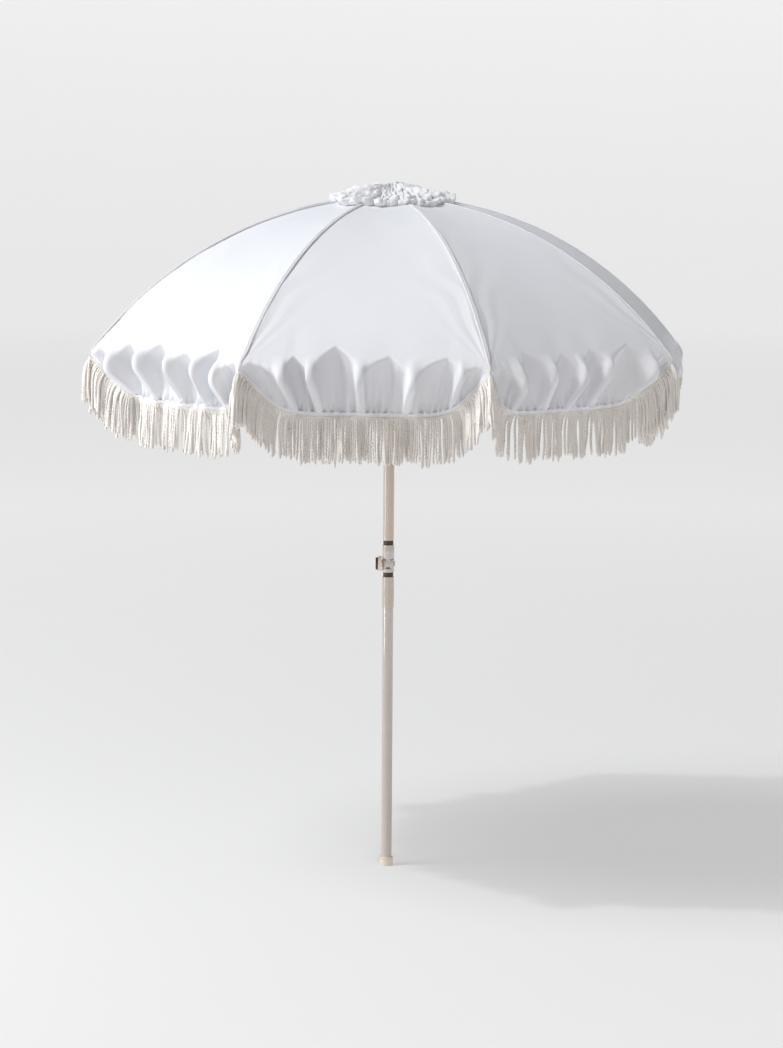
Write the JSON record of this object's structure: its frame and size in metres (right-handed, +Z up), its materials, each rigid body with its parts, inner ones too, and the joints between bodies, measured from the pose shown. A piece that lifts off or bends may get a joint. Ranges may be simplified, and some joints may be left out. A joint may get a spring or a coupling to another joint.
{
  "type": "beach umbrella",
  "caption": "Domed beach umbrella with a gathered fringed valance and a ruffled top, on a two-piece pole with a clamped tilt knuckle; the canopy folds by a sliding runner.",
  "frame": {"origin": "centre of the bottom of the foot cap", "axes": "+Z up along the pole; X along the tilt axis, with the clamp knob on the -X side"},
  "size_m": [1.7128, 1.7128, 2.0282],
  "materials": {
    "enamelled_tube": "satin off-white enamel",
    "cap_plastic": "satin cream",
    "sleeve": "satin off-white enamel",
    "knuckle": "satin light grey",
    "ring_plastic": "satin cream",
    "dark_core": "matte dark brown",
    "knob_plastic": "satin cream with a dark brown face",
    "brass_nut": "machined",
    "steel": "zinc plated",
    "rib_steel": "satin white enamel",
    "hub_plastic": "satin",
    "canopy_cloth": "plain weave cotton canvas",
    "valance_cloth": "plain weave cotton canvas with a cotton fringe",
    "ruffle_cloth": "plain weave cotton canvas, gathered",
    "fringe_cotton": "twisted cotton strands",
    "thread": "sewing thread and tape"
  },
  "bodies": {
    "lower_pole": {"lower_pole": "enamelled_tube", "foot_cap": "cap_plastic"},
    "knuckle_base": {"ferrule_lower": "sleeve", "core_lower": "dark_core", "knuckle_fork": "knuckle", "knob_bolt": "steel"},
    "clamp_washer": {"knob_washer": "steel"},
    "clamp_knob": {"tilt_knob": "knob_plastic", "clamp_nut": "brass_nut"},
    "upper_pole": {"knuckle_tongue": "knuckle", "ferrule_upper": "ring_plastic", "core_upper": "dark_core", "upper_pole": "enamelled_tube", "top_hub": "hub_plastic", "hub_pins": "steel", "crown_cap": "cap_plastic", "finial_screw": "steel", "ruffle": "ruffle_cloth"},
    "runner": {"runner": "hub_plastic"},
    "catch": {"catch_leaf": "steel"},
    "rib_1": {"rib_1": "rib_steel", "rib_bracket_1": "steel"},
    "stretcher_1": {"stretcher_1": "rib_steel"},
    "gore_1": {"canopy_gore_1": "canopy_cloth"},
    "valance_1": {"valance_1": "valance_cloth"},
    "rib_2": {"rib_2": "rib_steel", "rib_bracket_2": "steel"},
    "stretcher_2": {"stretcher_2": "rib_steel"},
    "gore_2": {"canopy_gore_2": "canopy_cloth"},
    "valance_2": {"valance_2": "valance_cloth"},
    "rib_3": {"rib_3": "rib_steel", "rib_bracket_3": "steel"},
    "stretcher_3": {"stretcher_3": "rib_steel"},
    "gore_3": {"canopy_gore_3": "canopy_cloth"},
    "valance_3": {"valance_3": "valance_cloth"},
    "rib_4": {"rib_4": "rib_steel", "rib_bracket_4": "steel"},
    "stretcher_4": {"stretcher_4": "rib_steel"},
    "gore_4": {"canopy_gore_4": "canopy_cloth"},
    "valance_4": {"valance_4": "valance_cloth"},
    "rib_5": {"rib_5": "rib_steel", "rib_bracket_5": "steel"},
    "stretcher_5": {"stretcher_5": "rib_steel"},
    "gore_5": {"canopy_gore_5": "canopy_cloth"},
    "valance_5": {"valance_5": "valance_cloth"},
    "rib_6": {"rib_6": "rib_steel", "rib_bracket_6": "steel"},
    "stretcher_6": {"stretcher_6": "rib_steel"},
    "gore_6": {"canopy_gore_6": "canopy_cloth"},
    "valance_6": {"valance_6": "valance_cloth"},
    "rib_7": {"rib_7": "rib_steel", "rib_bracket_7": "steel"},
    "stretcher_7": {"stretcher_7": "rib_steel"},
    "gore_7": {"canopy_gore_7": "canopy_cloth"},
    "valance_7": {"valance_7": "valance_cloth"},
    "rib_8": {"rib_8": "rib_steel", "rib_bracket_8": "steel"},
    "stretcher_8": {"stretcher_8": "rib_steel"},
    "gore_8": {"canopy_gore_8": "canopy_cloth"},
    "valance_8": {"valance_8": "valance_cloth"}
  },
  "joints": [
    {"name": "take_apart", "type": "slide", "parent": "lower_pole", "child": "knuckle_base", "axis": [0, 0, 1], "range_m": [0, 0.09]},
    {"name": "knob_turn", "type": "hinge", "parent": "clamp_washer", "child": "clamp_knob", "pos_m": [-0.03, 0, 0.911], "axis": [-1, 0, 0], "range_deg": [0, 720]},
    {"name": "clamp_travel", "type": "slide", "parent": "knuckle_base", "child": "clamp_washer", "axis": [-1, 0, 0], "range_m": [0, 0.003]},
    {"name": "tilt", "type": "hinge", "parent": "knuckle_base", "child": "upper_pole", "pos_m": [0, 0, 0.911], "axis": [1, 0, 0], "range_deg": [-35, 35]},
    {"name": "runner_slide", "type": "slide", "parent": "upper_pole", "child": "runner", "axis": [0, 0, -1], "range_m": [0, 0.6608], "deforming": ["canopy_gore_1", "valance_1", "canopy_gore_2", "valance_2", "canopy_gore_3", "valance_3", "canopy_gore_4", "valance_4", "canopy_gore_5", "valance_5", "canopy_gore_6", "valance_6", "canopy_gore_7", "valance_7", "canopy_gore_8", "valance_8", "ruffle", "catch_leaf"]},
    {"name": "catch_press", "type": "slide", "parent": "upper_pole", "child": "catch", "axis": [-1, 0, 0], "range_m": [0, 0.0052], "stiffness_N_per_m": 800},
    {"name": "rib_fold_1", "type": "hinge", "parent": "upper_pole", "child": "rib_1", "pos_m": [0.03139, 0.0102, 1.98], "axis": [-0.309, 0.9511, 0], "range_deg": [0, 63]},
    {"name": "stretcher_fold_1", "type": "hinge", "parent": "rib_1", "child": "stretcher_1", "pos_m": [0.44308, 0.14397, 1.87874], "axis": [-0.309, 0.9511, 0], "range_deg": [-126, 0]},
    {"name": "gore_fold_1", "type": "hinge", "parent": "upper_pole", "child": "gore_1", "pos_m": [0.02318, 0.0198, 1.98], "axis": [-0.6494, 0.7604, 0], "range_deg": [0, 58]},
    {"name": "valance_hang_1", "type": "hinge", "parent": "gore_1", "child": "valance_1", "pos_m": [0.63227, 0.54001, 1.56], "axis": [-0.6494, 0.7604, 0], "range_deg": [-68, 0]},
    {"name": "rib_fold_2", "type": "hinge", "parent": "upper_pole", "child": "rib_2", "pos_m": [0.01498, 0.0294, 1.98], "axis": [-0.891, 0.454, 0], "range_deg": [0, 63]},
    {"name": "stretcher_fold_2", "type": "hinge", "parent": "rib_2", "child": "stretcher_2", "pos_m": [0.21151, 0.41511, 1.87874], "axis": [-0.891, 0.454, 0], "range_deg": [-126, 0]},
    {"name": "gore_fold_2", "type": "hinge", "parent": "upper_pole", "child": "gore_2", "pos_m": [0.00239, 0.03039, 1.98], "axis": [-0.9969, 0.0785, 0], "range_deg": [0, 58]},
    {"name": "valance_hang_2", "type": "hinge", "parent": "gore_2", "child": "valance_2", "pos_m": [0.06524, 0.82893, 1.56], "axis": [-0.9969, 0.0785, 0], "range_deg": [-68, 0]},
    {"name": "rib_fold_3", "type": "hinge", "parent": "upper_pole", "child": "rib_3", "pos_m": [-0.0102, 0.03139, 1.98], "axis": [-0.9511, -0.309, 0], "range_deg": [0, 63]},
    {"name": "stretcher_fold_3", "type": "hinge", "parent": "rib_3", "child": "stretcher_3", "pos_m": [-0.14397, 0.44308, 1.87874], "axis": [-0.9511, -0.309, 0], "range_deg": [-126, 0]},
    {"name": "gore_fold_3", "type": "hinge", "parent": "upper_pole", "child": "gore_3", "pos_m": [-0.0198, 0.02318, 1.98], "axis": [-0.7604, -0.6494, 0], "range_deg": [0, 58]},
    {"name": "valance_hang_3", "type": "hinge", "parent": "gore_3", "child": "valance_3", "pos_m": [-0.54001, 0.63227, 1.56], "axis": [-0.7604, -0.6494, 0], "range_deg": [-68, 0]},
    {"name": "rib_fold_4", "type": "hinge", "parent": "upper_pole", "child": "rib_4", "pos_m": [-0.0294, 0.01498, 1.98], "axis": [-0.454, -0.891, 0], "range_deg": [0, 63]},
    {"name": "stretcher_fold_4", "type": "hinge", "parent": "rib_4", "child": "stretcher_4", "pos_m": [-0.41511, 0.21151, 1.87874], "axis": [-0.454, -0.891, 0], "range_deg": [-126, 0]},
    {"name": "gore_fold_4", "type": "hinge", "parent": "upper_pole", "child": "gore_4", "pos_m": [-0.03039, 0.00239, 1.98], "axis": [-0.0785, -0.9969, 0], "range_deg": [0, 58]},
    {"name": "valance_hang_4", "type": "hinge", "parent": "gore_4", "child": "valance_4", "pos_m": [-0.82893, 0.06524, 1.56], "axis": [-0.0785, -0.9969, 0], "range_deg": [-68, 0]},
    {"name": "rib_fold_5", "type": "hinge", "parent": "upper_pole", "child": "rib_5", "pos_m": [-0.03139, -0.0102, 1.98], "axis": [0.309, -0.9511, 0], "range_deg": [0, 63]},
    {"name": "stretcher_fold_5", "type": "hinge", "parent": "rib_5", "child": "stretcher_5", "pos_m": [-0.44308, -0.14397, 1.87874], "axis": [0.309, -0.9511, 0], "range_deg": [-126, 0]},
    {"name": "gore_fold_5", "type": "hinge", "parent": "upper_pole", "child": "gore_5", "pos_m": [-0.02318, -0.0198, 1.98], "axis": [0.6494, -0.7604, 0], "range_deg": [0, 58]},
    {"name": "valance_hang_5", "type": "hinge", "parent": "gore_5", "child": "valance_5", "pos_m": [-0.63227, -0.54001, 1.56], "axis": [0.6494, -0.7604, 0], "range_deg": [-68, 0]},
    {"name": "rib_fold_6", "type": "hinge", "parent": "upper_pole", "child": "rib_6", "pos_m": [-0.01498, -0.0294, 1.98], "axis": [0.891, -0.454, 0], "range_deg": [0, 63]},
    {"name": "stretcher_fold_6", "type": "hinge", "parent": "rib_6", "child": "stretcher_6", "pos_m": [-0.21151, -0.41511, 1.87874], "axis": [0.891, -0.454, 0], "range_deg": [-126, 0]},
    {"name": "gore_fold_6", "type": "hinge", "parent": "upper_pole", "child": "gore_6", "pos_m": [-0.00239, -0.03039, 1.98], "axis": [0.9969, -0.0785, 0], "range_deg": [0, 58]},
    {"name": "valance_hang_6", "type": "hinge", "parent": "gore_6", "child": "valance_6", "pos_m": [-0.06524, -0.82893, 1.56], "axis": [0.9969, -0.0785, 0], "range_deg": [-68, 0]},
    {"name": "rib_fold_7", "type": "hinge", "parent": "upper_pole", "child": "rib_7", "pos_m": [0.0102, -0.03139, 1.98], "axis": [0.9511, 0.309, 0], "range_deg": [0, 63]},
    {"name": "stretcher_fold_7", "type": "hinge", "parent": "rib_7", "child": "stretcher_7", "pos_m": [0.14397, -0.44308, 1.87874], "axis": [0.9511, 0.309, 0], "range_deg": [-126, 0]},
    {"name": "gore_fold_7", "type": "hinge", "parent": "upper_pole", "child": "gore_7", "pos_m": [0.0198, -0.02318, 1.98], "axis": [0.7604, 0.6494, 0], "range_deg": [0, 58]},
    {"name": "valance_hang_7", "type": "hinge", "parent": "gore_7", "child": "valance_7", "pos_m": [0.54001, -0.63227, 1.56], "axis": [0.7604, 0.6494, 0], "range_deg": [-68, 0]},
    {"name": "rib_fold_8", "type": "hinge", "parent": "upper_pole", "child": "rib_8", "pos_m": [0.0294, -0.01498, 1.98], "axis": [0.454, 0.891, 0], "range_deg": [0, 63]},
    {"name": "stretcher_fold_8", "type": "hinge", "parent": "rib_8", "child": "stretcher_8", "pos_m": [0.41511, -0.21151, 1.87874], "axis": [0.454, 0.891, 0], "range_deg": [-126, 0]},
    {"name": "gore_fold_8", "type": "hinge", "parent": "upper_pole", "child": "gore_8", "pos_m": [0.03039, -0.00239, 1.98], "axis": [0.0785, 0.9969, 0], "range_deg": [0, 58]},
    {"name": "valance_hang_8", "type": "hinge", "parent": "gore_8", "child": "valance_8", "pos_m": [0.82893, -0.06524, 1.56], "axis": [0.0785, 0.9969, 0], "range_deg": [-68, 0]}
  ],
  "couplings": [
    {"joint": "clamp_travel", "follows": "knob_turn", "m_per_rad": 0.00023873},
    {"joint": "rib_fold_1", "follows": "runner_slide", "rad_per_m": 1.664},
    {"joint": "stretcher_fold_1", "follows": "runner_slide", "rad_per_m": -3.328},
    {"joint": "gore_fold_1", "follows": "runner_slide", "rad_per_m": 1.5319},
    {"joint": "valance_hang_1", "follows": "runner_slide", "rad_per_m": -1.796},
    {"joint": "rib_fold_2", "follows": "runner_slide", "rad_per_m": 1.664},
    {"joint": "stretcher_fold_2", "follows": "runner_slide", "rad_per_m": -3.328},
    {"joint": "gore_fold_2", "follows": "runner_slide", "rad_per_m": 1.5319},
    {"joint": "valance_hang_2", "follows": "runner_slide", "rad_per_m": -1.796},
    {"joint": "rib_fold_3", "follows": "runner_slide", "rad_per_m": 1.664},
    {"joint": "stretcher_fold_3", "follows": "runner_slide", "rad_per_m": -3.328},
    {"joint": "gore_fold_3", "follows": "runner_slide", "rad_per_m": 1.5319},
    {"joint": "valance_hang_3", "follows": "runner_slide", "rad_per_m": -1.796},
    {"joint": "rib_fold_4", "follows": "runner_slide", "rad_per_m": 1.664},
    {"joint": "stretcher_fold_4", "follows": "runner_slide", "rad_per_m": -3.328},
    {"joint": "gore_fold_4", "follows": "runner_slide", "rad_per_m": 1.5319},
    {"joint": "valance_hang_4", "follows": "runner_slide", "rad_per_m": -1.796},
    {"joint": "rib_fold_5", "follows": "runner_slide", "rad_per_m": 1.664},
    {"joint": "stretcher_fold_5", "follows": "runner_slide", "rad_per_m": -3.328},
    {"joint": "gore_fold_5", "follows": "runner_slide", "rad_per_m": 1.5319},
    {"joint": "valance_hang_5", "follows": "runner_slide", "rad_per_m": -1.796},
    {"joint": "rib_fold_6", "follows": "runner_slide", "rad_per_m": 1.664},
    {"joint": "stretcher_fold_6", "follows": "runner_slide", "rad_per_m": -3.328},
    {"joint": "gore_fold_6", "follows": "runner_slide", "rad_per_m": 1.5319},
    {"joint": "valance_hang_6", "follows": "runner_slide", "rad_per_m": -1.796},
    {"joint": "rib_fold_7", "follows": "runner_slide", "rad_per_m": 1.664},
    {"joint": "stretcher_fold_7", "follows": "runner_slide", "rad_per_m": -3.328},
    {"joint": "gore_fold_7", "follows": "runner_slide", "rad_per_m": 1.5319},
    {"joint": "valance_hang_7", "follows": "runner_slide", "rad_per_m": -1.796},
    {"joint": "rib_fold_8", "follows": "runner_slide", "rad_per_m": 1.664},
    {"joint": "stretcher_fold_8", "follows": "runner_slide", "rad_per_m": -3.328},
    {"joint": "gore_fold_8", "follows": "runner_slide", "rad_per_m": 1.5319},
    {"joint": "valance_hang_8", "follows": "runner_slide", "rad_per_m": -1.796}
  ]
}
